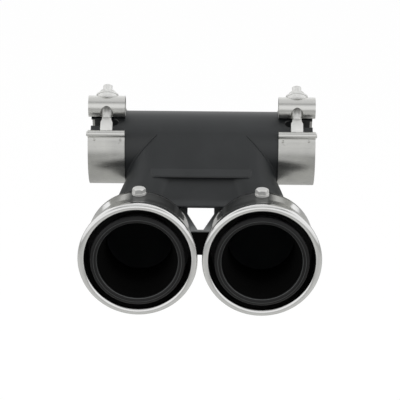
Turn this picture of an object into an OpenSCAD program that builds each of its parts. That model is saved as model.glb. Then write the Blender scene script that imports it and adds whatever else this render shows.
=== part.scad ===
// Twin outlet exhaust tip with a cross pipe, two band clamps and two chrome sleeves.
// Units are millimetres. The origin is the middle of the cross pipe's axis.
// X runs to the right along the cross pipe, the outlets face -Y, and Z is up.

/* [Cross pipe] */
// Outer diameter of the cross pipe
cross_od = 63.5; // [61:0.5:66]
// Wall of the cross pipe
cross_wall = 1.5; // [1.2:0.1:2]
// Number of relief slots in each end of the cross pipe
slot_count = 2; // [2:1:3]
// Width of a relief slot
slot_w = 8.5; // [7:0.5:10]
// Length of a relief slot
slot_len = 24; // [18:1:28]

/* [Body shells] */
// Slope of the body, downwards from level
body_slope = 49.5; // [47.5:0.5:51.5]
// Width of the body over its rounded sides
body_w = 132; // [126:1:136]
// Radius of the rounded sides
side_r = 28; // [26:0.5:29.5]
// Thickness of the pressed sheet
shell_wall = 1.5; // [1.2:0.1:2]
// Distance along the slope at which the two legs part
split_s = 41; // [39:1:44]
// Depth of the web between the legs below the body's top face
web_drop = 3.6; // [2.4:0.2:5]
// Height of the pressed lip above the top face
lip_h = 1.25; // [1:0.25:3]
// Length of the pressed lip along the slope
lip_len = 8; // [6:0.5:10]
// Radius on the inside of the bend that turns the legs level
bend_inside_r = 10.3; // [8:0.1:13]
// Length of the round collar that receives an outlet pipe
collar_len = 8; // [6:0.5:10]

/* [Outlet pipes] */
// Spacing of the two outlets
outlet_pitch = 103.5; // [102:0.5:107]
// Depth of the outlets' axis below the cross pipe's axis
outlet_drop = 57; // [55:0.5:59]
// Radial room between an outlet pipe and the back of its sleeve
pipe_room = 14.5; // [13.5:0.25:16]
// Wall of the outlet pipes
outlet_wall = 1.5; // [1.2:0.1:2]
// Gap between the rolled lip and the rolled rim around it
mouth_gap = 3.9; // [3.5:0.1:5]
// Radius of the rolled lip on an outlet pipe
lip_roll_r = 3.2; // [2.6:0.1:3.5]
// Distance that the rolled lip stands in front of the sleeve
lip_proud = 1.5; // [0:0.5:3]

/* [Sleeves] */
// Gap between the rims of the two sleeves
sleeve_apart = 3.5; // [2:0.5:6]
// Growth of a sleeve's radius from its back edge to its rim
sleeve_taper = 5.5; // [4.5:0.25:6.5]
// Length of a sleeve
sleeve_len = 47; // [45:1:50]
// Distance by which a sleeve's back edge reaches over the body's collar
sleeve_cover = 3; // [2:0.5:6]
// Sheet thickness of a sleeve
sleeve_wall = 1.2; // [1:0.1:1.6]
// Radius of the rolled rim
rim_r = 3.1; // [2.6:0.1:3.4]
// Length of the straight back part that the support ring carries
seat_len = 16; // [14:1:20]

/* [Tie bracket] */
// Thickness of the tie bracket
tie_t = 2; // [1.5:0.25:2.5]
// Slope of the bracket's upper plate
tie_slope = 20; // [16:1:24]
// Height of the bracket's front flange
tie_flange = 22; // [16:1:26]
// Width of the notch at its back
notch_w = 23; // [18:1:26]
// Width of the notch at the fold
notch_tip_w = 5; // [3:0.5:8]

/* [Band clamps] */
// Width of a clamp band
band_w = 32; // [28:1:34]
// Thickness of a clamp band
band_t = 1; // [0.8:0.1:1.2]
// Clearance between band and pipe
band_gap = 0.1; // [0.05:0.05:0.2]
// Distance between the body's side and a band
band_clear = 0.8; // [0.5:0.1:2]
// Distance that a band reaches past the pipe's end
band_overhang = 2.2; // [1:0.2:4]
// Outer radius of the small loop that holds the bolt's cross head
small_loop_r = 3.2; // [3:0.1:3.5]
// Outer radius of the large loop that holds the trunnion
large_loop_r = 9.3; // [8.8:0.1:9.6]
// Angle of the small loop above level, seen from the side
small_loop_angle = 37; // [36:1:39]
// Angle of the large loop above level, seen from the side
large_loop_angle = 77; // [76:1:80]
// Diameter of a spot weld's dimple
weld_d = 2.6; // [2:0.2:3]

/* [Fasteners] */
// Thread diameter of the clamp bolts
clamp_bolt_d = 8; // [7:0.5:8]
// Width of the clamp bolt's flat neck
neck_w = 10.4; // [9.6:0.2:11.2]
// Thickness of the clamp bolt's flat neck
neck_t = 3.6; // [3:0.2:3.8]
// Distance from the cross head to the end of the flat neck
neck_len = 14.5; // [13.5:0.5:15.5]
// Width across flats of the clamp nuts
clamp_nut_af = 13; // [12:0.5:14]
// Height of a clamp nut
clamp_nut_h = 5; // [4:0.5:6.5]
// Length of clamp bolt that stands out of its nut
stud_end = 5.5; // [3:0.5:8]
// Thread diameter of the sleeve bolts
tip_bolt_d = 6; // [5:0.5:6]
// Width across flats of the sleeve bolts and their weld nuts
tip_bolt_af = 10; // [9:0.5:11]
// Height of a sleeve bolt's head
tip_head_h = 4; // [3.5:0.25:5]
// Diameter of a washer
washer_d = 12; // [11.5:0.5:13]
// Thickness of a washer
washer_t = 1.6; // [1:0.1:1.8]
// Distance from a sleeve's back edge to its bolt
tip_bolt_inset = 8; // [7:0.5:9]

/* [Hidden] */

BLACK = [0.17, 0.175, 0.18];
CHROME = [0.9, 0.9, 0.92];
STEEL = [0.72, 0.72, 0.7];

// A joint's overlap, a thin slice, and a cut's run past a face
EPS = 0.01;
SLICE = 0.4;
PAST = 1;
// Clearances on the radius: a loose fit, a ring on its pipe, and a nut on its thread
SLIP = 0.2;
RING_FIT = 0.1;
THREAD_CLEAR = 0.05;
ROUND = 96;
OUTLINE = 48;

cross_r = cross_od / 2;
cross_bore_r = cross_r - cross_wall;
side_x = body_w / 2 - side_r;
outlet_x = outlet_pitch / 2;
band_x = body_w / 2 + band_clear;
cross_len = 2 * (band_x + band_w - band_overhang);

// The sleeves fill the pitch, and what is inside them follows from their size
sleeve_od = outlet_pitch - sleeve_apart;
sleeve_back_r = sleeve_od / 2 - sleeve_taper;
outlet_r = sleeve_back_r - pipe_room;
mouth_r = sleeve_od / 2 - 2 * rim_r - mouth_gap - 2 * lip_roll_r;

// Support ring: sheet thickness, length on the pipe, and radius inside its seat
ring_t = 1.5;
RING_GRIP = 6;
ring_inner_r = sleeve_back_r - sleeve_wall - RING_FIT - ring_t;

// Radii of the clamp band and of its doubled ends
band_in = cross_r + band_gap;
band_out = band_in + band_t;
tab_out = band_out + band_t;

// The body's middle line leaves the cross pipe so that the top face is tangent to it
axis_rise = cross_r - side_r;
leg_end_r = outlet_r + SLIP + shell_wall;
bend_r = leg_end_r + bend_inside_r;
corner_s = (outlet_drop + axis_rise * cos(body_slope)) / sin(body_slope);
bend_tangent = bend_r * tan(body_slope / 2);
bend_start_s = corner_s - bend_tangent;
bend_len = bend_r * body_slope * PI / 180;
bend_end_s = bend_start_s + bend_len;
leg_end_y = -(corner_s * cos(body_slope) + axis_rise * sin(body_slope) + bend_tangent);

// Distances from the cross pipe's axis to the back and the front of the sleeves
sleeve_back = collar_len - leg_end_y - sleeve_cover;
sleeve_reach = sleeve_back + sleeve_len;

// Place on the body's middle line at path length s, as [y, z, slope]
function path(s) =
    s <= bend_start_s
        ? [-s * cos(body_slope) - axis_rise * sin(body_slope),
           -s * sin(body_slope) + axis_rise * cos(body_slope),
           body_slope]
        : bend_point(body_slope * (1 - min((s - bend_start_s) / bend_len, 1)));
function bend_point(slope) =
    [leg_end_y + bend_r * sin(slope), -outlet_drop + bend_r * (1 - cos(slope)), slope];

// Smooth step from 0 to 1
function ease(t) = let (u = min(max(t, 0), 1)) u * u * (3 - 2 * u);

// The legs spread and change their radius from just outside the bands to the end of the bend
spread_s = band_out + 1;
SPREAD_POWER = 1.6;
function spread(s) =
    1 - pow(1 - min(max((s - spread_s) / (bend_end_s - spread_s), 0), 1), SPREAD_POWER);
function leg_x(s) = side_x + (outlet_x - side_x) * spread(s);
function leg_r(s) = side_r + (leg_end_r - side_r) * spread(s);

module both_sides() {
    children();
    mirror([1, 0, 0]) children();
}
module left_of() {
    mirror([1, 0, 0]) children();
}

// Point of a leg's outline at path length s, counted from the bottom by way of the outer side
HALF = OUTLINE / 2;
function leg_point(s, inset, i) =
    let (angle = i * 180 / HALF - 90, place = path(s), r = leg_r(s) - inset)
    [leg_x(s) + r * cos(angle),
     place[0] - r * sin(angle) * sin(place[2]),
     place[1] + r * sin(angle) * cos(place[2])];
function leg_outline(s, inset) = [for (i = [0 : OUTLINE - 1]) leg_point(s, inset, i)];
function inner_half(s, inset) = [for (i = [HALF + 1 : OUTLINE - 1]) leg_point(s, inset, i)];
function flipped(points) = [for (point = points) [-point[0], point[1], point[2]]];
function moved(points, by) = [for (point = points) point + by];

// Outline of the joined part, round at both sides and flat above and below
function bar_outline(s, inset) =
    let (outer = [for (i = [0 : HALF]) leg_point(s, inset, i)])
    concat(outer, flipped([for (i = [HALF : -1 : 0]) outer[i]]));

// Path lengths of a leg's outlines after the one where the legs part
LEG_STEPS = 9;
leg_places = [for (i = [1 : LEG_STEPS]) split_s + i * (bend_end_s - split_s) / LEG_STEPS];

// Numbers of the points in the body's solid: three bar outlines, then the two legs
BAR_POINTS = OUTLINE + 2;
LEG_OUTLINES = LEG_STEPS + 1;
LEG_POINTS = HALF - 1 + LEG_OUTLINES * OUTLINE;
function shared_point(side, i) = 2 * BAR_POINTS + (side == 0 ? i : BAR_POINTS - 1 - i);
function leg_number(side, k, i) =
    let (first = 3 * BAR_POINTS + side * LEG_POINTS)
    k > 0 ? first + HALF - 1 + (k - 1) * OUTLINE + i
    : i > HALF ? first + i - HALF - 1
    : shared_point(side, i);

// Points of one leg, from the inner half where the legs part to the end of its collar
function leg_points(inset, past) =
    let (collar = leg_outline(bend_end_s, inset))
    concat(
        inner_half(split_s - inset, inset),
        [for (s = leg_places) each leg_outline(s, inset)],
        moved(collar, [0, -collar_len - past, 0])
    );

// Triangles of one leg's side and the face that closes its end
function leg_faces(side) = concat(
    [for (k = [0 : LEG_OUTLINES - 1], i = [0 : OUTLINE - 1])
        let (next = (i + 1) % OUTLINE,
             a = leg_number(side, k, i), b = leg_number(side, k, next),
             c = leg_number(side, k + 1, next), d = leg_number(side, k + 1, i))
        each side == 0 ? [[a, d, c], [a, c, b]] : [[a, c, d], [a, b, c]]],
    [[for (i = [0 : OUTLINE - 1])
        leg_number(side, LEG_OUTLINES, side == 0 ? OUTLINE - 1 - i : i)]]
);

// The body as one solid: the joined part, which is a flat tube, and the two legs
module body_solid(inset, from_s, past) {
    leg = leg_points(inset, past);
    polyhedron(
        points = concat(
            [for (s = [from_s, spread_s, split_s - inset]) each bar_outline(s, inset)],
            leg,
            flipped(leg)
        ),
        faces = concat(
            [[for (i = [0 : BAR_POINTS - 1]) i]],
            [for (k = [0, 1], i = [0 : BAR_POINTS - 1])
                let (a = k * BAR_POINTS + i, b = k * BAR_POINTS + (i + 1) % BAR_POINTS)
                each [[a, a + BAR_POINTS, b + BAR_POINTS], [a, b + BAR_POINTS, b]]],
            [concat(
                [for (i = [HALF : OUTLINE - 1]) leg_number(0, 0, i)],
                [shared_point(0, 0), shared_point(1, 0)],
                [for (i = [OUTLINE - 1 : -1 : HALF]) leg_number(1, 0, i)]
            )],
            leg_faces(0),
            leg_faces(1)
        ),
        convexity = 6
    );
}

// Pressed web that bridges the legs below the level of the top face
WEB_STEPS = 6;
WEB_SHORT = 6;
web_end_s = bend_end_s - WEB_SHORT;
module web_edge(s) {
    place = path(s);
    half_w = leg_x(s);
    translate([0, place[0], place[1]])
        rotate([place[2], 0, 0])
            translate([-half_w, -SLICE / 2, leg_r(s) - web_drop - shell_wall])
                cube([2 * half_w, SLICE, shell_wall]);
}
module web() {
    start = split_s - shell_wall;
    step = (web_end_s - start) / WEB_STEPS;
    for (i = [0 : WEB_STEPS - 1])
        hull() {
            web_edge(start + i * step);
            web_edge(start + (i + 1) * step);
        }
}

// Pressed lip where the top face steps down to the web
LIP_NOSE = 1.2;
LIP_RUN = 3;
LIP_FALL = 0.9;
module lip_slice(x, height) {
    place = path(split_s - lip_len);
    top = leg_r(split_s);
    translate([x, place[0], place[1]])
        rotate([place[2], 0, 0])
            rotate([0, -90, 0])
                linear_extrude(height = SLICE, center = true)
                    polygon([
                        [top - shell_wall, 0],
                        [top, 0],
                        [top + height, -lip_len + LIP_NOSE],
                        [top + height - LIP_NOSE / 2, -lip_len],
                        [top - shell_wall, -lip_len]
                    ]);
}
module lip() {
    flat_x = leg_x(split_s);
    hull() both_sides() lip_slice(flat_x, lip_h);
    both_sides()
        hull() {
            lip_slice(flat_x, lip_h);
            lip_slice(flat_x + LIP_RUN, -LIP_FALL);
        }
}

module body_outer() {
    body_solid(0, 0, 0);
    web();
    lip();
}
module body_inner() {
    body_solid(shell_wall, -side_r / 4, PAST);
}
// Everything above the seam, which lies just above the middle line of the body
SEAM_RISE = 0.3;
SEAM_STEP = 5.3;
module above_seam() {
    reach = cross_len;
    front = leg_end_y - 2 * collar_len;
    seam = [
        for (s = [-cross_r : SEAM_STEP : bend_end_s - SEAM_STEP / 2])
            [path(s)[0], path(s)[1] + SEAM_RISE]
    ];
    seam_end = -outlet_drop + SEAM_RISE;
    rotate([90, 0, 90])
        linear_extrude(height = reach, center = true)
            polygon(concat(
                seam,
                [[front, seam_end],
                 [front, reach], [reach, reach], [reach, 0]]
            ));
}
module cross_solid(r, extra) {
    rotate([0, 90, 0])
        cylinder(h = cross_len + extra, r = r, center = true, $fn = ROUND);
}
module upper_shell() {
    color(BLACK)
        difference() {
            intersection() {
                body_outer();
                above_seam();
            }
            body_inner();
            cross_solid(cross_r, 0);
        }
}
module lower_shell() {
    color(BLACK)
        difference() {
            body_outer();
            body_inner();
            above_seam();
            cross_solid(cross_r, 0);
        }
}

// Pipe that carries the whole tip, slotted at both ends for the clamps
PORT_MARGIN = 8;
slot_angle = small_loop_angle + 24;
module relief_slot() {
    translate([cross_len / 2 - slot_len + slot_w / 2, 0, 0])
        rotate([90, 0, 0]) {
            cylinder(h = cross_r + PAST, d = slot_w, $fn = ROUND);
            translate([0, -slot_w / 2, 0])
                cube([slot_len, slot_w, cross_r + PAST]);
        }
}
module cross_pipe() {
    color(BLACK)
        difference() {
            cross_solid(cross_r, 0);
            cross_solid(cross_bore_r, PAST);
            both_sides()
                translate([side_x, 0, 0])
                    rotate([90 + body_slope, 0, 0])
                        cylinder(h = cross_od, r = side_r - PORT_MARGIN, $fn = ROUND);
            both_sides()
                for (i = [0 : slot_count - 1])
                    rotate([-(slot_angle + i * 360 / slot_count), 0, 0])
                        relief_slot();
        }
}

// Sheet bracket below the web: a notched plate and a flange that ties the legs together
TIE_GAP = 1.5;
NOTCH_STRAIGHT = 0.62;
tie_front_y = -sleeve_back + TIE_GAP;
TIE_RISE = 7.5;
tie_fold_z = -outlet_drop + TIE_RISE;
tie_plate_len = 36;
module tie_notch() {
    polygon([
        [-notch_tip_w / 2, tie_t],
        [notch_tip_w / 2, tie_t],
        [notch_w / 2, tie_plate_len * NOTCH_STRAIGHT],
        [notch_w / 2, tie_plate_len + PAST],
        [-notch_w / 2, tie_plate_len + PAST],
        [-notch_w / 2, tie_plate_len * NOTCH_STRAIGHT]
    ]);
}
module tie_blank() {
    translate([0, tie_front_y, tie_fold_z]) {
        rotate([tie_slope, 0, 0])
            translate([0, 0, -tie_t])
                linear_extrude(height = tie_t)
                    difference() {
                        translate([-outlet_x, 0])
                            square([outlet_pitch, tie_plate_len]);
                        tie_notch();
                    }
        translate([-outlet_x, 0, -tie_flange])
            cube([outlet_pitch, tie_t, tie_flange]);
    }
}
module tie_bracket() {
    color(BLACK)
        difference() {
            tie_blank();
            body_solid(0, 0, sleeve_len);
        }
}

// Arc of a rolled edge in the half plane of radius and height
ROLL_STEPS = 16;
function arc(centre, r, from_angle, to_angle) = [
    for (i = [0 : ROLL_STEPS])
        let (a = from_angle + (to_angle - from_angle) * i / ROLL_STEPS)
        centre + r * [cos(a), sin(a)]
];
// Steps from 0 to 1
function steps(count) = [for (i = [0 : count]) i / count];
function reversed(list) = [for (i = [len(list) - 1 : -1 : 0]) list[i]];
function shifted(list, by) = [for (point = list) point + by];
// Turns a profile of radius and height about an outlet's axis, with height towards the front
module about_outlet() {
    translate([outlet_x, 0, -outlet_drop])
        rotate([90, 0, 0])
            rotate_extrude($fn = ROUND)
                children();
}

// Outlet pipe, flared to a mouth with a rolled lip
FLARE_STEPS = 8;
outlet_start = -leg_end_y + 1;
flare_start = sleeve_back + seat_len + RING_GRIP;
outlet_front = sleeve_reach + lip_proud;
module outlet_pipe() {
    bore_r = outlet_r - outlet_wall;
    flare_end = outlet_front - lip_roll_r;
    roll_centre = [mouth_r + lip_roll_r, flare_end];
    inside = concat(
        [[bore_r, outlet_start]],
        [for (t = steps(FLARE_STEPS))
            [bore_r + (mouth_r - bore_r) * ease(t), flare_start + t * (flare_end - flare_start)]]
    );
    color(BLACK)
        about_outlet()
            polygon(concat(
                inside,
                arc(roll_centre, lip_roll_r, 180, -60),
                arc(roll_centre, lip_roll_r - outlet_wall, -60, 180),
                reversed(shifted(inside, [outlet_wall, 0]))
            ));
}

// Chrome sleeve, straight at the back and flared to a rolled rim
SLEEVE_STEPS = 10;
rim_y = sleeve_reach - rim_r;
module tip_bolt_hole() {
    translate([outlet_x, tip_bolt_y, -outlet_drop])
        cylinder(h = sleeve_od, r = tip_bolt_d / 2 + SLIP, $fn = ROUND);
}
module sleeve() {
    seat_end = sleeve_back + seat_len;
    front_r = sleeve_od / 2;
    roll_centre = [front_r - rim_r, rim_y];
    outside = concat(
        [[sleeve_back_r, sleeve_back]],
        [for (t = steps(SLEEVE_STEPS))
            [sleeve_back_r + (front_r - sleeve_back_r) * ease(t), seat_end + t * (rim_y - seat_end)]]
    );
    color(CHROME)
        difference() {
            about_outlet()
                polygon(concat(
                    outside,
                    arc(roll_centre, rim_r, 0, 230),
                    arc(roll_centre, rim_r - sleeve_wall, 230, 0),
                    reversed(shifted(outside, [-sleeve_wall, 0]))
                ));
            tip_bolt_hole();
        }
}

// Stepped ring between outlet pipe and sleeve
module support_ring() {
    start = sleeve_back + 1;
    step_at = sleeve_back + seat_len;
    seat_r = ring_inner_r + ring_t;
    grip_r = outlet_r + RING_FIT;
    color(BLACK)
        difference() {
            about_outlet()
                polygon([
                    [grip_r, step_at + RING_GRIP - ring_t],
                    [grip_r, step_at - ring_t],
                    [seat_r - ring_t, step_at - ring_t],
                    [seat_r - ring_t, start],
                    [seat_r, start],
                    [seat_r, step_at],
                    [grip_r + ring_t, step_at],
                    [grip_r + ring_t, step_at + RING_GRIP - ring_t]
                ]);
            tip_bolt_hole();
        }
}

// Bolt, washer and weld nut that hold a sleeve on its support ring
tip_bolt_y = -(sleeve_back + tip_bolt_inset);
tip_seat_z = -outlet_drop + sleeve_back_r;
weld_nut_h = 5;
BOLT_PAST_NUT = 2;
ring_inside_z = -outlet_drop + ring_inner_r;
module at_tip_bolt(z) {
    translate([outlet_x, tip_bolt_y, z]) children();
}
module hex_prism(flats, height) {
    cylinder(h = height, d = flats / cos(30), $fn = 6);
}
// Hexagon with its top corners turned off
CHAMFER_PART = 0.48;
module hex_head(flats, height) {
    corner_r = flats / cos(30) / 2;
    intersection() {
        hex_prism(flats, height);
        cylinder(h = height, r1 = corner_r + height, r2 = flats * CHAMFER_PART, $fn = ROUND);
    }
}
module washer() {
    color(STEEL)
        at_tip_bolt(tip_seat_z)
            difference() {
                cylinder(h = washer_t, d = washer_d, $fn = ROUND);
                translate([0, 0, -PAST])
                    cylinder(h = washer_t + 2 * PAST, r = tip_bolt_d / 2 + SLIP, $fn = ROUND);
            }
}
module sleeve_bolt() {
    shank_end = ring_inside_z - weld_nut_h - BOLT_PAST_NUT;
    head_z = tip_seat_z + washer_t;
    color(STEEL) {
        at_tip_bolt(head_z) hex_head(tip_bolt_af, tip_head_h);
        at_tip_bolt(shank_end) cylinder(h = head_z - shank_end + EPS, d = tip_bolt_d, $fn = ROUND);
    }
}
module weld_nut() {
    // The ring curves away from the nut's flat top, so the nut sits by its side corners
    sag = ring_inner_r - sqrt(pow(ring_inner_r, 2) - pow(tip_bolt_af / 2 / cos(30), 2));
    color(STEEL)
        at_tip_bolt(ring_inside_z - sag - weld_nut_h)
            difference() {
                hex_prism(tip_bolt_af, weld_nut_h);
                translate([0, 0, -PAST])
                    cylinder(h = weld_nut_h + 2 * PAST, r = tip_bolt_d / 2 + THREAD_CLEAR, $fn = ROUND);
            }
}

// Clamp band, drawn from the side with its two loops and folded ends
function on_circle(r, angle) = [-r * cos(angle), r * sin(angle)];
small_centre = on_circle(band_in + small_loop_r, small_loop_angle);
large_centre = on_circle(band_in + large_loop_r, large_loop_angle);
bolt_span = norm(large_centre - small_centre);
bolt_dir = (large_centre - small_centre) / bolt_span;
bolt_tilt = -atan2(bolt_dir[0], bolt_dir[1]);

// Angle at which a loop's sheet comes down on the band
function fold_angle(loop_r) =
    let (far = band_in + loop_r, mid = loop_r - band_t / 2, near = band_out + band_t / 2,
         turn = acos((far * far + mid * mid - near * near) / (2 * far * mid)))
    asin(mid * sin(turn) / near);

SECTOR_STEP = 6;
module sector(r, from_angle, to_angle) {
    count = ceil((to_angle - from_angle) / SECTOR_STEP);
    polygon(concat(
        [[0, 0]],
        [for (i = [0 : count]) on_circle(r, from_angle + (to_angle - from_angle) * i / count)]
    ));
}
module ring_part(inner, outer, from_angle, to_angle) {
    intersection() {
        difference() {
            circle(r = outer, $fn = ROUND);
            circle(r = inner, $fn = ROUND);
        }
        sector(outer * 2, from_angle, to_angle);
    }
}
module loop_ring(centre, r) {
    translate(centre)
        difference() {
            circle(r = r, $fn = ROUND);
            circle(r = r - band_t, $fn = ROUND);
        }
}
SMALL_TAB = 17.7;
LARGE_TAB = 26;
small_tab_end = small_loop_angle - SMALL_TAB;
large_tab_end = large_loop_angle + LARGE_TAB;
module band_profile() {
    ring_part(band_in, band_out, large_loop_angle, 360 + small_loop_angle);
    ring_part(band_out - EPS, tab_out, small_tab_end, small_loop_angle - fold_angle(small_loop_r));
    ring_part(band_out - EPS, tab_out, large_loop_angle + fold_angle(large_loop_r), large_tab_end);
    loop_ring(small_centre, small_loop_r);
    loop_ring(large_centre, large_loop_r);
}
module extrude_band(from_x, width) {
    translate([from_x, 0, 0])
        rotate([90, 0, 90])
            linear_extrude(height = width)
                children();
}
// Places its children with +Z along the clamp bolt, from the centre of the small loop
module along_bolt(distance) {
    translate([band_x + band_w / 2, small_centre[0], small_centre[1]])
        rotate([bolt_tilt, 0, 0])
            translate([0, 0, distance])
                children();
}
// Round-ended slot in the large loop's front, which lets the bolt swing
ARCH_TURN = 12;
ARCH_LEN = 4;
NECK_CLEAR = 0.3;
arch_w = neck_w + 2 * NECK_CLEAR;
neck_slot_h = neck_t + 2 * NECK_CLEAR;
module arch_slot() {
    translate([band_x + band_w / 2, large_centre[0], large_centre[1]])
        rotate([bolt_tilt + 180 - ARCH_TURN, 0, 0])
            linear_extrude(height = large_loop_r * 2)
                slot_outline(arch_w, ARCH_LEN);
}
module slot_outline(width, length) {
    square([width, length], center = true);
    for (side = [-1, 1])
        translate([0, side * length / 2])
            circle(d = width, $fn = ROUND);
}
SPOT_TURN = 8.5;
SPOT_PLACES = [0.12, 0.82];
spot_angle = small_loop_angle - SPOT_TURN;
module spot_welds() {
    for (part = SPOT_PLACES)
        rotate([-spot_angle, 0, 0])
            translate([band_x + band_w * part, -tab_out - weld_d / 4, 0])
                sphere(d = weld_d, $fn = ROUND);
}
// Small slanted cut in the folded end, beside the body
CUT_TURN = 4;
CUT_SLANT = 40;
CUT_W = 1.2;
CUT_LEN = 4;
module tab_notch() {
    rotate([-spot_angle + CUT_TURN, 0, 0])
        translate([band_x + band_w * SPOT_PLACES[0], -tab_out, 0])
            rotate([0, -CUT_SLANT, 0])
                cube([CUT_W, 2.4 * band_t, CUT_LEN], center = true);
}
module clamp_band() {
    color(STEEL)
        difference() {
            extrude_band(band_x, band_w) band_profile();
            along_bolt(0)
                translate([-arch_w / 2, -neck_slot_h / 2, 0])
                    cube([arch_w, neck_slot_h, small_loop_r * 2]);
            arch_slot();
            along_bolt(bolt_span)
                cylinder(h = large_loop_r * 2, r = clamp_bolt_d / 2 + SLIP, $fn = ROUND);
            spot_welds();
            tab_notch();
        }
}

// Half-round spacer that the nut pulls on, inside the large loop
trunnion_r = large_loop_r - band_t - RING_FIT;
TRUNNION_SHORT = 6;
module trunnion() {
    length = band_w - TRUNNION_SHORT;
    color(STEEL)
        difference() {
            intersection() {
                translate([band_x + (band_w - length) / 2, large_centre[0], large_centre[1]])
                    rotate([0, 90, 0])
                        cylinder(h = length, r = trunnion_r, $fn = ROUND);
                along_bolt(bolt_span + trunnion_r / 2)
                    cube([band_w, 2 * trunnion_r, trunnion_r], center = true);
            }
            along_bolt(bolt_span - PAST)
                cylinder(h = large_loop_r * 2, r = clamp_bolt_d / 2 + SLIP, $fn = ROUND);
        }
}

// Bolt with a cross head in the small loop, a flat neck that narrows to its shank, and a thread
CROSS_SHIFT = 1.2;
NECK_SHOULDER = 4;
NECK_TAPER = 2.7;
nut_seat = bolt_span + large_loop_r;
module neck_half() {
    shoulder = neck_len - NECK_SHOULDER;
    polygon([
        [0, 0],
        [neck_w / 2, 0],
        [neck_w / 2, shoulder],
        [clamp_bolt_d / 2, shoulder + NECK_TAPER],
        [clamp_bolt_d / 2, neck_len],
        [0, neck_len]
    ]);
}
module clamp_bolt() {
    cross_head_r = small_loop_r - band_t - RING_FIT;
    shank_len = nut_seat + clamp_nut_h + stud_end - neck_len;
    color(STEEL) {
        along_bolt(0) {
            translate([CROSS_SHIFT, 0, 0])
                rotate([0, 90, 0])
                    cylinder(h = band_w, r = cross_head_r, center = true, $fn = ROUND);
            rotate([90, 0, 0])
                linear_extrude(height = neck_t, center = true)
                    both_sides() neck_half();
        }
        along_bolt(neck_len - EPS)
            cylinder(h = shank_len, d = clamp_bolt_d, $fn = ROUND);
    }
}

// Flange nut on the large loop
flange_t = 1.4;
FLANGE_STEP = 2.2;
module clamp_nut() {
    flange_r = clamp_nut_af / cos(30) / 2 + FLANGE_STEP;
    hex_r = clamp_nut_af / 2;
    color(STEEL)
        along_bolt(nut_seat)
            difference() {
                union() {
                    cylinder(h = flange_t, r = flange_r, $fn = ROUND);
                    translate([0, 0, flange_t - EPS])
                        cylinder(h = flange_t, r1 = flange_r, r2 = hex_r, $fn = ROUND);
                    hex_head(clamp_nut_af, clamp_nut_h);
                }
                translate([0, 0, -PAST])
                    cylinder(h = clamp_nut_h + 2 * PAST, r = clamp_bolt_d / 2 + THREAD_CLEAR, $fn = ROUND);
            }
}

cross_pipe();
upper_shell();
lower_shell();
tie_bracket();
left_of() outlet_pipe();  // left_outlet_pipe
outlet_pipe();  // right_outlet_pipe
left_of() support_ring();  // left_support_ring
support_ring();  // right_support_ring
left_of() sleeve();  // left_sleeve
sleeve();  // right_sleeve
left_of() weld_nut();  // left_weld_nut
weld_nut();  // right_weld_nut
left_of() washer();  // left_washer
washer();  // right_washer
left_of() sleeve_bolt();  // left_sleeve_bolt
sleeve_bolt();  // right_sleeve_bolt
left_of() clamp_band();  // left_clamp_band
clamp_band();  // right_clamp_band
left_of() trunnion();  // left_trunnion
trunnion();  // right_trunnion
left_of() clamp_bolt();  // left_clamp_bolt
clamp_bolt();  // right_clamp_bolt
left_of() clamp_nut();  // left_clamp_nut
clamp_nut();  // right_clamp_nut
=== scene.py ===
import math

import bpy
from mathutils import Matrix, Vector


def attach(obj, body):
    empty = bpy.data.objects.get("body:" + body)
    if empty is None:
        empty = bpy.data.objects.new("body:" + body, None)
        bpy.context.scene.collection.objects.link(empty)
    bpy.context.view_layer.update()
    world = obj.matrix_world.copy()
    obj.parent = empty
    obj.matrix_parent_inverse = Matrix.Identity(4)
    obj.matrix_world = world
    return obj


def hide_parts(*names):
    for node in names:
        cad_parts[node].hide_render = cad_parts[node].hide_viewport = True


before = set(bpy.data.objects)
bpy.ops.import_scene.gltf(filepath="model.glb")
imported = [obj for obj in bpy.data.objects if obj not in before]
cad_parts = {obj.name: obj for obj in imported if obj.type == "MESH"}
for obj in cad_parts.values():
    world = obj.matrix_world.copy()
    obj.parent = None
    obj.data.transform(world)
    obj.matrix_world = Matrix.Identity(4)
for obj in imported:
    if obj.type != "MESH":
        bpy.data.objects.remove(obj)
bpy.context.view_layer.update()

MM = 0.001
BODY = "root"

# Sizes that repeat the part's source, in millimetres
CROSS_R = 31.75
BODY_W = 132.0
SIDE_R = 28.0
BODY_SLOPE = math.radians(49.5)
BEND_INSIDE_R = 10.3
COLLAR_LEN = 8.0
OUTLET_X = 51.75
OUTLET_DROP = 57.0
OUTLET_R = 30.0
OUTLET_WALL = 1.5
MOUTH_R = 33.5
LIP_ROLL_R = 3.2
SLEEVE_LEN = 47.0
SLEEVE_COVER = 3.0
SLEEVE_R = 50.0
SLEEVE_BACK_R = 44.5
SLEEVE_WALL = 1.2
RIM_R = 3.1
SEAT_LEN = 16.0
RING_GRIP = 6.0
LIP_PROUD = 1.5
SHELL_WALL = 1.5
SLIP = 0.2
SPREAD_POWER = 1.6
BAND_W = 32.0
BAND_T = 1.0
BAND_GAP = 0.1
BAND_CLEAR = 0.8
SMALL_LOOP_R = 3.2
SMALL_LOOP_ANGLE = 37
LARGE_LOOP_R = 9.3
LARGE_LOOP_ANGLE = 77
TIE_RISE = 7.5
TIP_BOLT_INSET = 8.0

BAND_IN = CROSS_R + BAND_GAP
BAND_OUT = BAND_IN + BAND_T
BAND_MID_X = BODY_W / 2 + BAND_CLEAR + BAND_W / 2

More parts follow.
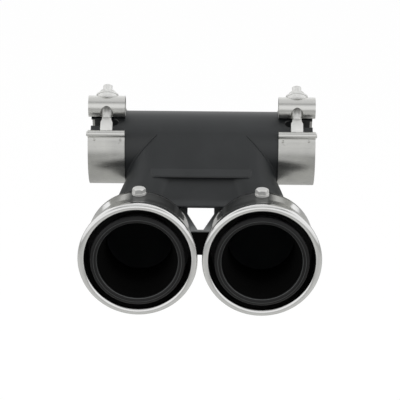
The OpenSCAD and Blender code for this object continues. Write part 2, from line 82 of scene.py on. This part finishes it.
SIDE_X = BODY_W / 2 - SIDE_R
AXIS_RISE = CROSS_R - SIDE_R
LEG_END_R = OUTLET_R + SLIP + SHELL_WALL
BEND_R = LEG_END_R + BEND_INSIDE_R
CORNER_S = (OUTLET_DROP + AXIS_RISE * math.cos(BODY_SLOPE)) / math.sin(BODY_SLOPE)
BEND_TANGENT = BEND_R * math.tan(BODY_SLOPE / 2)
BEND_START_S = CORNER_S - BEND_TANGENT
BEND_LEN = BEND_R * BODY_SLOPE
BEND_END_S = BEND_START_S + BEND_LEN
LEG_END_Y = -(CORNER_S * math.cos(BODY_SLOPE) + AXIS_RISE * math.sin(BODY_SLOPE) + BEND_TANGENT)
SPREAD_S = BAND_OUT + 1
SLEEVE_BACK = COLLAR_LEN - LEG_END_Y - SLEEVE_COVER
SLEEVE_REACH = SLEEVE_BACK + SLEEVE_LEN
TIE_FOLD_Z = -OUTLET_DROP + TIE_RISE
TIP_BOLT_Y = -(SLEEVE_BACK + TIP_BOLT_INSET)


# Camera
CAMERA_AT = Vector((0.013, -1.4127, 0.4942))
CAMERA_PITCH = math.radians(21.08)
CAMERA_YAW = math.radians(0.58)
CAMERA_ROLL = math.radians(0.35)
FOCAL_PX = 1687.0
FRAME_PX = 400.0
SENSOR_MM = 36.0


def add_camera():
    data = bpy.data.cameras.new("camera")
    data.sensor_width = SENSOR_MM
    data.lens = FOCAL_PX / FRAME_PX * SENSOR_MM
    data.clip_start = 0.05
    data.clip_end = 50.0
    camera = bpy.data.objects.new("camera", data)
    bpy.context.scene.collection.objects.link(camera)
    right = Vector((math.cos(CAMERA_YAW), math.sin(CAMERA_YAW), 0))
    ahead = Vector((
        -math.sin(CAMERA_YAW) * math.cos(CAMERA_PITCH),
        math.cos(CAMERA_YAW) * math.cos(CAMERA_PITCH),
        -math.sin(CAMERA_PITCH),
    ))
    up = right.cross(ahead)
    side = right * math.cos(CAMERA_ROLL) + up * math.sin(CAMERA_ROLL)
    top = up * math.cos(CAMERA_ROLL) - right * math.sin(CAMERA_ROLL)
    turn = Matrix((side, top, -ahead)).transposed()
    camera.matrix_world = Matrix.Translation(CAMERA_AT) @ turn.to_4x4()
    bpy.context.scene.camera = camera


# Node helpers
def new_tree(material):
    material.use_nodes = True
    tree = material.node_tree
    tree.nodes.clear()
    return tree


def node(tree, kind, **settings):
    made = tree.nodes.new(kind)
    for key, value in settings.items():
        setattr(made, key, value)
    return made


def link(tree, source, target):
    tree.links.new(source, target)


def ramp(tree, source, stops):
    made = node(tree, "ShaderNodeValToRGB")
    elements = made.color_ramp.elements
    while len(elements) < len(stops):
        elements.new(0.5)
    for element, (place, colour) in zip(elements, stops):
        element.position = place
        element.color = (*colour, 1) if isinstance(colour, tuple) else (colour, colour, colour, 1)
    link(tree, source, made.inputs["Fac"])
    return made.outputs["Color"]


def noise(tree, vector, scale, detail=3.0, roughness=0.5):
    made = node(tree, "ShaderNodeTexNoise")
    made.inputs["Scale"].default_value = scale
    made.inputs["Detail"].default_value = detail
    made.inputs["Roughness"].default_value = roughness
    link(tree, vector, made.inputs["Vector"])
    return made.outputs["Fac"]


def stretched(tree, scale):
    place = node(tree, "ShaderNodeTexCoord")
    mapping = node(tree, "ShaderNodeMapping")
    mapping.inputs["Scale"].default_value = scale
    link(tree, place.outputs["Object"], mapping.inputs["Vector"])
    return mapping.outputs["Vector"]


def bump(tree, height, strength, distance):
    made = node(tree, "ShaderNodeBump")
    made.inputs["Strength"].default_value = strength
    made.inputs["Distance"].default_value = distance
    link(tree, height, made.inputs["Height"])
    return made.outputs["Normal"]


def map_range(tree, source, low, high):
    made = node(tree, "ShaderNodeMapRange")
    made.inputs["To Min"].default_value = low
    made.inputs["To Max"].default_value = high
    link(tree, source, made.inputs["Value"])
    return made.outputs["Result"]


# Offset from a point at the right, or from its mirror image at the left, with a scale on each axis
def mirrored_offset(tree, point, scale):
    place = node(tree, "ShaderNodeTexCoord")
    shift = node(tree, "ShaderNodeVectorMath", operation="ADD")
    size = node(tree, "ShaderNodeVectorMath", operation="MULTIPLY")
    shift.inputs[1].default_value = (-point[0] * MM, -point[1] * MM, -point[2] * MM)
    size.inputs[1].default_value = tuple(c / MM for c in scale)
    split = node(tree, "ShaderNodeSeparateXYZ")
    right = node(tree, "ShaderNodeMath", operation="ABSOLUTE")
    join = node(tree, "ShaderNodeCombineXYZ")
    link(tree, place.outputs["Object"], split.inputs["Vector"])
    link(tree, split.outputs["X"], right.inputs[0])
    link(tree, right.outputs["Value"], join.inputs["X"])
    link(tree, split.outputs["Y"], join.inputs["Y"])
    link(tree, split.outputs["Z"], join.inputs["Z"])
    link(tree, join.outputs["Vector"], shift.inputs[0])
    link(tree, shift.outputs["Vector"], size.inputs[0])
    return size.outputs["Vector"]


def mirrored_distance(tree, point, scale):
    length = node(tree, "ShaderNodeVectorMath", operation="LENGTH")
    link(tree, mirrored_offset(tree, point, scale), length.inputs[0])
    return length.outputs["Value"]


# Nought at the centre of a mirrored box and one on its faces
def mirrored_box(tree, centre, half):
    size = node(tree, "ShaderNodeVectorMath", operation="ABSOLUTE")
    parts = node(tree, "ShaderNodeSeparateXYZ")
    flat = node(tree, "ShaderNodeMath", operation="MAXIMUM")
    all_three = node(tree, "ShaderNodeMath", operation="MAXIMUM")
    link(tree, mirrored_offset(tree, centre, tuple(1 / h for h in half)), size.inputs[0])
    link(tree, size.outputs["Vector"], parts.inputs["Vector"])
    link(tree, parts.outputs["X"], flat.inputs[0])
    link(tree, parts.outputs["Y"], flat.inputs[1])
    link(tree, flat.outputs["Value"], all_three.inputs[0])
    link(tree, parts.outputs["Z"], all_three.inputs[1])
    return all_three.outputs["Value"]


def mix_colour(tree, factor, first, second):
    made = node(tree, "ShaderNodeMix")
    made.data_type = "RGBA"
    link(tree, factor, made.inputs["Factor"])
    for socket, colour in ((made.inputs["A"], first), (made.inputs["B"], second)):
        if isinstance(colour, tuple):
            socket.default_value = (*colour, 1)
        else:
            link(tree, colour, socket)
    return made.outputs["Result"]


def mix_value(tree, factor, first, second):
    made = node(tree, "ShaderNodeMix")
    link(tree, factor, made.inputs["Factor"])
    for socket, value in ((made.inputs["A"], first), (made.inputs["B"], second)):
        if isinstance(value, float):
            socket.default_value = value
        else:
            link(tree, value, socket)
    return made.outputs["Result"]


# Rises from nought to one between two heights in millimetres
def height_step(tree, low, high):
    place = node(tree, "ShaderNodeTexCoord")
    split = node(tree, "ShaderNodeSeparateXYZ")
    step = node(tree, "ShaderNodeMapRange")
    step.inputs["From Min"].default_value = low * MM
    step.inputs["From Max"].default_value = high * MM
    link(tree, place.outputs["Object"], split.inputs["Vector"])
    link(tree, split.outputs["Z"], step.inputs["Value"])
    return step.outputs["Result"]


def surface(name, metallic, specular=0.5):
    material = bpy.data.materials.new(name)
    tree = new_tree(material)
    shader = node(tree, "ShaderNodeBsdfPrincipled")
    shader.inputs["Metallic"].default_value = metallic
    shader.inputs["Specular IOR Level"].default_value = specular
    output = node(tree, "ShaderNodeOutputMaterial")
    link(tree, shader.outputs["BSDF"], output.inputs["Surface"])
    return material, tree, shader


# The tree, the shader and the socket that gives the base colour of a finished material
def reopened(material):
    tree = material.node_tree
    shader = next(n for n in tree.nodes if n.type == "BSDF_PRINCIPLED")
    return tree, shader, shader.inputs["Base Color"].links[0].from_socket


# Satin black paint on pressed sheet: fine grain, faint dust and slightly uneven gloss
def black_paint(name, dark, light, rough_low, rough_high, specular=0.5):
    material, tree, shader = surface(name, 0.0, specular)
    even = stretched(tree, (1, 1, 1))
    cloud = noise(tree, even, 22.0, 4.0, 0.6)
    grain = noise(tree, even, 2600.0, 2.0, 0.5)
    link(tree, ramp(tree, cloud, [(0.3, dark), (0.7, light)]), shader.inputs["Base Color"])
    link(tree, map_range(tree, cloud, rough_low, rough_high), shader.inputs["Roughness"])
    link(tree, bump(tree, grain, 0.25, 0.00004), shader.inputs["Normal"])
    return material


# Painted dark reflection of the black body on top of each sleeve, before its bolt and towards the
# middle, as a centre and half sizes
PAINTED_REFLECTION_AT = (OUTLET_X - 12, TIP_BOLT_Y - 11.5, -OUTLET_DROP + SLEEVE_BACK_R)
PAINTED_REFLECTION_HALF = (24.0, 20.5, 22.0)


# Mirror chrome: near white metal with faint haze and hairline scratches, darkened where the painted
# dark reflection of the body lies
def chrome(name):
    material, tree, shader = surface(name, 1.0)
    even = stretched(tree, (1, 1, 1))
    haze = noise(tree, even, 30.0, 3.0, 0.6)
    hairline = noise(tree, stretched(tree, (60, 900, 60)), 6.0, 2.0, 0.5)
    clean = ramp(tree, haze, [(0.3, (0.80, 0.802, 0.795)), (0.7, (0.85, 0.85, 0.842))])
    # Darker, rougher colour here is a painted reflection of the black body, not a mark on the chrome
    painted_reflection = ramp(tree, mirrored_box(tree, PAINTED_REFLECTION_AT, PAINTED_REFLECTION_HALF), [(0.72, 1.0), (1.0, 0.0)])
    dark = (0.125, 0.128, 0.127)
    gloss = map_range(tree, haze, 0.10, 0.16)
    link(tree, mix_colour(tree, painted_reflection, clean, dark), shader.inputs["Base Color"])
    link(tree, mix_value(tree, painted_reflection, gloss, 0.4), shader.inputs["Roughness"])
    link(tree, bump(tree, hairline, 0.03, 0.00003), shader.inputs["Normal"])
    return material


# Rolled outlet paint: lighter along two thin rings of the lip as painted highlights, as radius and half
# width
PAINTED_HIGHLIGHT_RINGS = [(34.15, 0.13), (36.7, 0.10)]
RING_SPAN = 50.0


def outlet_with_painted_highlights(name):
    dark, light = (0.003, 0.003, 0.0033), (0.005, 0.005, 0.0053)
    material = black_paint(name, dark, light, 0.3, 0.45, 0.28)
    tree, shader, painted = reopened(material)
    radius = mirrored_distance(tree, (OUTLET_X, 0, -OUTLET_DROP), (1 / RING_SPAN, 0, 1 / RING_SPAN))
    stops = []
    for r, half in PAINTED_HIGHLIGHT_RINGS:
        stops += [((r - 2 * half) / RING_SPAN, 0.0), ((r - half / 2) / RING_SPAN, 1.0),
                  ((r + half / 2) / RING_SPAN, 1.0), ((r + 2 * half) / RING_SPAN, 0.0)]
    # Two thin lighter rings on the lip: painted highlights of its roll
    highlight_rings = ramp(tree, radius, stops)
    highlight_colour = (0.11, 0.115, 0.115)
    link(tree, mix_colour(tree, highlight_rings, painted, highlight_colour), shader.inputs["Base Color"])
    return material


# Bracket paint: grey on the sloping plates as painted light, and near black on the flange below the
# fold as painted deep shade
def bracket_paint(name):
    # Grey of the plates stands for light falling on black paint: painted light
    dark, light = (0.22, 0.227, 0.23), (0.27, 0.278, 0.28)
    material = black_paint(name, dark, light, 0.5, 0.6, 0.4)
    tree, shader, painted = reopened(material)
    plates = height_step(tree, TIE_FOLD_Z - 1.2, TIE_FOLD_Z - 0.4)
    # Near black flange colour: painted shade of the crevice between the sleeves
    painted_deep_shade = (0.0022, 0.0022, 0.0024)
    link(tree, mix_colour(tree, plates, painted_deep_shade, painted), shader.inputs["Base Color"])
    link(tree, mix_value(tree, plates, 0.06, 0.4), shader.inputs["Specular IOR Level"])
    return material


# Brushed steel: fine lines along one direction, with lighter and darker patches
def brushed_steel(name, along, dark, light, rough_low, rough_high, metallic=1.0):
    material, tree, shader = surface(name, metallic)
    lines = noise(tree, stretched(tree, along), 9.0, 4.0, 0.6)
    patches = noise(tree, stretched(tree, (1, 1, 1)), 45.0, 3.0, 0.55)
    link(tree, ramp(tree, patches, [(0.3, dark), (0.72, light)]), shader.inputs["Base Color"])
    link(tree, map_range(tree, lines, rough_low, rough_high), shader.inputs["Roughness"])
    link(tree, bump(tree, lines, 0.12, 0.00005), shader.inputs["Normal"])
    return material


# Band sheet: brushed round the pipe, and brighter on the loops as a painted highlight
LOOP_HIGHLIGHT_Z = (15.0, 18.0)


def band_sheet(name):
    dark, light = (0.50, 0.50, 0.485), (0.60, 0.60, 0.575)
    material = brushed_steel(name, (14, 700, 700), dark, light, 0.22, 0.36)
    tree, shader, sheet = reopened(material)
    loop_highlight = height_step(tree, *LOOP_HIGHLIGHT_Z)
    # Lighter colour on the loops: a painted highlight
    loop_highlight_colour = (0.73, 0.73, 0.708)
    link(tree, mix_colour(tree, loop_highlight, sheet, loop_highlight_colour), shader.inputs["Base Color"])
    return material


# Meshes
def link_mesh(name, vertices, faces, materials, face_materials=None):
    mesh = bpy.data.meshes.new(name)
    mesh.from_pydata([tuple(c * MM for c in v) for v in vertices], [], faces)
    mesh.update()
    for material in materials:
        mesh.materials.append(material)
    if face_materials:
        for polygon, index in zip(mesh.polygons, face_materials):
            polygon.material_index = index
    for polygon in mesh.polygons:
        polygon.use_smooth = True
    piece = bpy.data.objects.new(name, mesh)
    bpy.context.scene.collection.objects.link(piece)
    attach(piece, BODY)
    return piece


def ease(t):
    return t * t * (3 - 2 * t)


def arc(centre, r, start, end, steps):
    points = []
    for i in range(steps + 1):
        a = math.radians(start + (end - start) * i / steps)
        points.append((centre[0] + r * math.cos(a), centre[1] + r * math.sin(a)))
    return points


TURNS = 256


# An outlet's axis, with height running towards the front
def outlet_place(side):
    return Matrix((
        (1, 0, 0, side * OUTLET_X),
        (0, 0, -1, 0),
        (0, 1, 0, -OUTLET_DROP),
        (0, 0, 0, 1),
    ))


def signed_area(profile):
    total = 0.0
    for (r1, h1), (r2, h2) in zip(profile, profile[1:] + profile[:1]):
        total += (r1 * h2 - r2 * h1) / 2
    return total


# Closed profile of radius and height, turned about the axis of the place given, with faces outwards
def lathe(name, profile, place, materials, indices):
    count = len(profile)
    vertices = []
    faces = []
    face_materials = []
    for k in range(TURNS):
        a = 2 * math.pi * k / TURNS
        for r, h in profile:
            vertices.append(place @ Vector((r * math.cos(a), r * math.sin(a), h)))
    for k in range(TURNS):
        n = (k + 1) % TURNS
        for i in range(count):
            j = (i + 1) % count
            faces.append((k * count + i, n * count + i, n * count + j, k * count + j))
            face_materials.append(indices[i])
    piece = link_mesh(name, vertices, faces, materials, face_materials)
    if signed_area(profile) < 0:
        piece.data.flip_normals()
    return piece


# Section of a sleeve: straight seat, flared skirt and rolled rim, with chrome where it shows
def sleeve_profile():
    steps = 24
    roll_end = 230
    seat_end = SLEEVE_BACK + SEAT_LEN
    rim_y = SLEEVE_REACH - RIM_R
    centre = (SLEEVE_R - RIM_R, rim_y)
    outside = [(SLEEVE_BACK_R, SLEEVE_BACK + 0.3), (SLEEVE_BACK_R, SLEEVE_BACK + 4)]
    outside += [
        (SLEEVE_BACK_R + (SLEEVE_R - SLEEVE_BACK_R) * ease(i / steps),
         seat_end + (rim_y - seat_end) * i / steps)
        for i in range(steps + 1)
    ]
    roll = arc(centre, RIM_R, 0, roll_end, 30)
    back = arc(centre, RIM_R - SLEEVE_WALL, roll_end, 0, 20)
    inside = [(r - SLEEVE_WALL, h) for r, h in reversed(outside)]
    profile = outside + roll[1:] + back + inside[1:]
    shown = len(outside) + len(roll) - 1
    indices = [0 if i < shown - 1 else 1 for i in range(len(profile))]
    indices[-1] = 0
    return profile, indices


# Section of an outlet pipe: bore, flare and rolled lip, with soot inside
def outlet_profile():
    steps = 20
    roll_start, roll_end = 180, -60
    bore = OUTLET_R - OUTLET_WALL
    start = -LEG_END_Y + 1
    flare_start = SLEEVE_BACK + SEAT_LEN + RING_GRIP
    flare_end = SLEEVE_REACH + LIP_PROUD - LIP_ROLL_R
    centre = (MOUTH_R + LIP_ROLL_R, flare_end)
    inside = [(bore, start)] + [
        (bore + (MOUTH_R - bore) * ease(i / steps), flare_start + (flare_end - flare_start) * i / steps)
        for i in range(steps + 1)
    ]
    roll = arc(centre, LIP_ROLL_R, roll_start, roll_end, 30)
    back = arc(centre, LIP_ROLL_R - OUTLET_WALL, roll_end, roll_start, 20)
    outside = [(r + OUTLET_WALL, h) for r, h in reversed(inside)]
    profile = inside + roll[1:] + back + outside[1:]
    soot = len(inside) - 1
    indices = [1 if i < soot else 0 for i in range(len(profile))]
    return profile, indices


# Raised seat that closes the wedge between a clamp nut's flat flange and the round loop
NUT_SEAT_R = 9.5
NUT_SEAT_BORE = 8.0
NUT_SEAT_BOTTOM = -5.0
NUT_SEAT_TOP = 0.25
NUT_SEAT_PROFILE = [
    (NUT_SEAT_BORE, NUT_SEAT_BOTTOM),
    (NUT_SEAT_R, NUT_SEAT_BOTTOM),
    (NUT_SEAT_R, NUT_SEAT_TOP - 0.45),
    (NUT_SEAT_R - 0.4, NUT_SEAT_TOP),
    (NUT_SEAT_BORE, NUT_SEAT_TOP),
]


# Point beside the cross pipe, at an angle above level as seen from the side
def on_circle(r, degrees):
    a = math.radians(degrees)
    return Vector((0, -r * math.cos(a), r * math.sin(a)))


# Where a clamp nut sits, with height running along its bolt
def nut_place(side):
    small = on_circle(BAND_IN + SMALL_LOOP_R, SMALL_LOOP_ANGLE)
    large = on_circle(BAND_IN + LARGE_LOOP_R, LARGE_LOOP_ANGLE)
    along = (large - small).normalized()
    across = Vector((side, 0, 0))
    over = along.cross(across)
    seat = large + along * LARGE_LOOP_R + Vector((side * BAND_MID_X, 0, 0))
    turn = Matrix((across, over, along)).transposed().to_4x4()
    return Matrix.Translation(seat) @ turn


def add_nut_seats(material):
    for side, sign in (("left", -1), ("right", 1)):
        indices = [0] * len(NUT_SEAT_PROFILE)
        lathe(side + "_nut_seat", NUT_SEAT_PROFILE, nut_place(sign), [material], indices)


# Place on the body's middle line, as y, z and slope
def path(s):
    if s <= BEND_START_S:
        return (-s * math.cos(BODY_SLOPE) - AXIS_RISE * math.sin(BODY_SLOPE),
                -s * math.sin(BODY_SLOPE) + AXIS_RISE * math.cos(BODY_SLOPE), BODY_SLOPE)
    slope = BODY_SLOPE * (1 - min((s - BEND_START_S) / BEND_LEN, 1))
    return (LEG_END_Y + BEND_R * math.sin(slope), -OUTLET_DROP + BEND_R * (1 - math.cos(slope)), slope)


def spread(s):
    part = min(max((s - SPREAD_S) / (BEND_END_S - SPREAD_S), 0), 1)
    return 1 - (1 - part) ** SPREAD_POWER


def leg_x(s):
    return SIDE_X + (OUTLET_X - SIDE_X) * spread(s)


def leg_r(s):
    return SIDE_R + (LEG_END_R - SIDE_R) * spread(s)


def body_point(s, degrees, out=0.0):
    y, z, slope = path(s)
    r = leg_r(s) + out
    a = math.radians(degrees)
    return Vector((leg_x(s) + r * math.cos(a), y - r * math.sin(a) * math.sin(slope),
                   z + r * math.sin(a) * math.cos(slope)))


def mirrored(points):
    return [Vector((-p.x, p.y, p.z)) for p in points]


BEAD_SIDES = 8


# Bead of weld along a line of points, with the ripples of its stitches
def weld_bead(name, points, radius, material, ripple=0.25, pitch=1.6):
    vertices = []
    faces = []
    length = 0.0
    for k, point in enumerate(points):
        before = points[max(k - 1, 0)]
        after = points[min(k + 1, len(points) - 1)]
        length += (point - before).length
        along = (after - before).normalized()
        side = along.orthogonal().normalized()
        other = along.cross(side)
        swell = 1 - ripple * abs(math.sin(math.pi * length / pitch))
        ends = min(1.0, 0.3 + 0.7 * min(k, len(points) - 1 - k) / 4)
        for i in range(BEAD_SIDES):
            a = 2 * math.pi * i / BEAD_SIDES
            offset = side * math.cos(a) + other * math.sin(a)
            vertices.append(point + offset * radius * swell * ends)
    for k in range(len(points) - 1):
        for i in range(BEAD_SIDES):
            j = (i + 1) % BEAD_SIDES
            a = k * BEAD_SIDES
            faces.append((a + i, a + j, a + BEAD_SIDES + j, a + BEAD_SIDES + i))
    faces.append(tuple(reversed(range(BEAD_SIDES))))
    last = (len(points) - 1) * BEAD_SIDES
    faces.append(tuple(last + i for i in range(BEAD_SIDES)))
    return link_mesh(name, vertices, faces, [material])


# Where a line along the body meets the cross pipe
def meets_pipe(degrees):
    a = math.radians(degrees)
    y0, z0, slope = path(0)
    y0 -= SIDE_R * math.sin(a) * math.sin(slope)
    z0 += SIDE_R * math.sin(a) * math.cos(slope)
    dy, dz = -math.cos(slope), -math.sin(slope)
    b = y0 * dy + z0 * dz
    c = y0 * y0 + z0 * z0 - CROSS_R ** 2
    s = -b + math.sqrt(max(b * b - c, 0))
    return Vector((SIDE_X + SIDE_R * math.cos(a), y0 + s * dy, z0 + s * dz))


def resampled(points, step):
    result = [points[0]]
    for a, b in zip(points, points[1:]):
        count = max(1, round((b - a).length / step))
        result += [a.lerp(b, i / count) for i in range(1, count + 1)]
    return result


PIPE_WELD_R = 0.8
SEAM_WELD_R = 0.55
SEAM_START_S = 33


def add_welds(material):
    pipe_line = [meets_pipe(d) for d in range(-88, 89, 2)]
    seam = [body_point(s, 0.6, -0.15) for s in range(SEAM_START_S, int(BEND_END_S) + 1)]
    for side, flip in (("right", list), ("left", mirrored)):
        weld_bead(side + "_pipe_weld", resampled(flip(pipe_line), 0.4), PIPE_WELD_R, material)
        weld_bead(side + "_seam_weld", resampled(flip(seam), 0.5), SEAM_WELD_R, material)


# Shades CAD nodes smoothly except at their real edges
SHARP_ANGLE = math.radians(32)


def smooth_group():
    group = bpy.data.node_groups.new("smooth_by_angle", "GeometryNodeTree")
    group.interface.new_socket("Geometry", in_out="INPUT", socket_type="NodeSocketGeometry")
    group.interface.new_socket("Geometry", in_out="OUTPUT", socket_type="NodeSocketGeometry")
    start = group.nodes.new("NodeGroupInput")
    end = group.nodes.new("NodeGroupOutput")
    merge = group.nodes.new("GeometryNodeMergeByDistance")
    merge.inputs["Distance"].default_value = 0.000002
    forget = group.nodes.new("GeometryNodeRemoveAttribute")
    forget.inputs["Name"].default_value = "custom_normal"
    faces = group.nodes.new("GeometryNodeSetShadeSmooth")
    edges = group.nodes.new("GeometryNodeSetShadeSmooth")
    edges.domain = "EDGE"
    edges.inputs["Shade Smooth"].default_value = False
    angle = group.nodes.new("GeometryNodeInputMeshEdgeAngle")
    sharp = group.nodes.new("FunctionNodeCompare")
    sharp.operation = "GREATER_THAN"
    sharp.inputs["B"].default_value = SHARP_ANGLE
    group.links.new(angle.outputs["Unsigned Angle"], sharp.inputs["A"])
    group.links.new(sharp.outputs["Result"], edges.inputs["Selection"])
    chain = [start, merge, forget, faces, edges, end]
    for a, b in zip(chain, chain[1:]):
        group.links.new(a.outputs["Geometry"], b.inputs["Geometry"])
    return group


def dress(name, material, group):
    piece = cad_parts[name]
    piece.data.materials.clear()
    piece.data.materials.append(material)
    modifier = piece.modifiers.new("smooth", "NODES")
    modifier.node_group = group


# Floor, world and lamps
FLOOR_Z = -0.42
FLOOR_HALF = 6.0
GLOW_SHARE = 0.95
FLOOR_IN_REFLECTIONS = (0.48, 0.48, 0.47)


# White paper to the camera, which still takes the object's shadow, and a greyer one in reflections
def floor_material():
    material = bpy.data.materials.new("floor_white")
    tree = new_tree(material)
    paper = node(tree, "ShaderNodeBsdfDiffuse")
    grain = noise(tree, stretched(tree, (1, 1, 1)), 40.0)
    seen_colour = ramp(tree, grain, [(0.3, 0.95), (0.7, 0.97)])
    rays = node(tree, "ShaderNodeLightPath")
    camera_ray = rays.outputs["Is Camera Ray"]
    colour = mix_colour(tree, camera_ray, FLOOR_IN_REFLECTIONS, seen_colour)
    link(tree, colour, paper.inputs["Color"])
    glow = node(tree, "ShaderNodeEmission")
    glow.inputs["Strength"].default_value = 1.0
    seen = node(tree, "ShaderNodeMath", operation="MULTIPLY")
    seen.inputs[1].default_value = GLOW_SHARE
    link(tree, camera_ray, seen.inputs[0])
    mix = node(tree, "ShaderNodeMixShader")
    link(tree, seen.outputs["Value"], mix.inputs["Fac"])
    link(tree, paper.outputs["BSDF"], mix.inputs[1])
    link(tree, glow.outputs["Emission"], mix.inputs[2])
    output = node(tree, "ShaderNodeOutputMaterial")
    link(tree, mix.outputs["Shader"], output.inputs["Surface"])
    return material


def add_floor():
    h = FLOOR_HALF
    mesh = bpy.data.meshes.new("floor")
    mesh.from_pydata([(-h, -h, FLOOR_Z), (h, -h, FLOOR_Z), (h, h, FLOOR_Z), (-h, h, FLOOR_Z)],
                     [], [(0, 1, 2, 3)])
    mesh.materials.append(floor_material())
    floor = bpy.data.objects.new("floor", mesh)
    bpy.context.scene.collection.objects.link(floor)


# Brightness of the studio before and behind the object, by the height of a direction, from straight
# down to straight up
SKY_AHEAD = [
    (0.00, 0.42), (0.40, 0.46), (0.47, 0.66), (0.53, 0.88), (0.66, 0.95),
    (0.82, 0.90), (0.875, 0.62), (0.91, 0.32), (0.94, 0.34), (0.965, 0.70), (1.00, 0.74),
]
SKY_BEHIND = [(0.00, 0.42), (0.45, 0.55), (0.50, 0.96), (0.75, 1.00), (0.90, 0.84), (1.00, 0.74)]


def add_world():
    world = bpy.data.worlds.new("studio")
    bpy.context.scene.world = world
    world.use_nodes = True
    tree = world.node_tree
    tree.nodes.clear()
    place = node(tree, "ShaderNodeTexCoord")
    split = node(tree, "ShaderNodeSeparateXYZ")
    link(tree, place.outputs["Generated"], split.inputs["Vector"])
    height = node(tree, "ShaderNodeMapRange")
    height.inputs["From Min"].default_value = -1.0
    height.inputs["From Max"].default_value = 1.0
    link(tree, split.outputs["Z"], height.inputs["Value"])
    behind = node(tree, "ShaderNodeMapRange")
    behind.inputs["From Min"].default_value = 0.0
    behind.inputs["From Max"].default_value = 0.12
    link(tree, split.outputs["Y"], behind.inputs["Value"])
    sky = mix_colour(
        tree, behind.outputs["Result"],
        ramp(tree, height.outputs["Result"], SKY_AHEAD),
        ramp(tree, height.outputs["Result"], SKY_BEHIND),
    )
    room = node(tree, "ShaderNodeBackground")
    link(tree, sky, room.inputs["Color"])
    white = node(tree, "ShaderNodeBackground")
    white.inputs["Color"].default_value = (1, 1, 1, 1)
    rays = node(tree, "ShaderNodeLightPath")
    mix = node(tree, "ShaderNodeMixShader")
    link(tree, rays.outputs["Is Camera Ray"], mix.inputs["Fac"])
    link(tree, room.outputs["Background"], mix.inputs[1])
    link(tree, white.outputs["Background"], mix.inputs[2])
    output = node(tree, "ShaderNodeOutputWorld")
    link(tree, mix.outputs["Shader"], output.inputs["Surface"])


def add_softbox(name, place, target, width, height, power):
    data = bpy.data.lights.new(name, "AREA")
    data.shape = "RECTANGLE"
    data.size = width
    data.size_y = height
    data.energy = power
    lamp = bpy.data.objects.new(name, data)
    lamp.location = place
    lamp.rotation_euler = (Vector(target) - Vector(place)).to_track_quat("-Z", "Y").to_euler()
    lamp.visible_glossy = False
    bpy.context.scene.collection.objects.link(lamp)


def add_lamps():
    middle = (0.0, -0.04, -0.03)
    add_softbox("top_softbox", (0.0, 0.1, 1.3), middle, 1.2, 0.9, 9.0)
    add_softbox("left_softbox", (-1.2, -0.5, 0.5), middle, 0.7, 1.0, 4.0)
    add_softbox("right_softbox", (1.2, -0.5, 0.5), middle, 0.7, 1.0, 4.0)


bpy.context.scene.view_settings.view_transform = "Standard"

add_camera()
add_world()
add_floor()
add_lamps()

paint = black_paint(
    "satin_black_paint", (0.012, 0.0135, 0.0144), (0.0175, 0.0194, 0.0205), 0.34, 0.46, 0.52)
flange_paint = black_paint(
    "rough_black_paint", (0.010, 0.0105, 0.011), (0.018, 0.0185, 0.019), 0.5, 0.7)
tie_paint = bracket_paint("bracket_black")
lip_paint = outlet_with_painted_highlights("outlet_black")
soot = black_paint(
    "soot", (0.003, 0.0031, 0.0031), (0.0046, 0.0046, 0.0045), 0.9, 1.0, 0.04)
mirror = chrome("mirror_chrome")
band_steel = band_sheet("band_steel")
bolt_steel = brushed_steel(
    "bolt_steel", (200, 200, 200), (0.66, 0.66, 0.645), (0.75, 0.75, 0.735), 0.34, 0.48, 0.6)

smooth = smooth_group()
for name in ("cross_pipe", "upper_shell", "lower_shell"):
    dress(name, paint, smooth)
dress("tie_bracket", tie_paint, smooth)
for side in ("left", "right"):
    dress(side + "_support_ring", flange_paint, smooth)
    dress(side + "_clamp_band", band_steel, smooth)
    for small in ("weld_nut", "washer", "sleeve_bolt", "trunnion", "clamp_bolt", "clamp_nut"):
        dress(side + "_" + small, bolt_steel, smooth)

for side, sign in (("left", -1), ("right", 1)):
    profile, indices = sleeve_profile()
    place = outlet_place(sign)
    sleeve = lathe(side + "_sleeve_chrome", profile, place, [mirror, flange_paint], indices)
    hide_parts(side + "_sleeve")
    profile, indices = outlet_profile()
    outlet = lathe(side + "_outlet_black", profile, place, [lip_paint, soot], indices)
    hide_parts(side + "_outlet_pipe")

add_welds(paint)
add_nut_seats(bolt_steel)
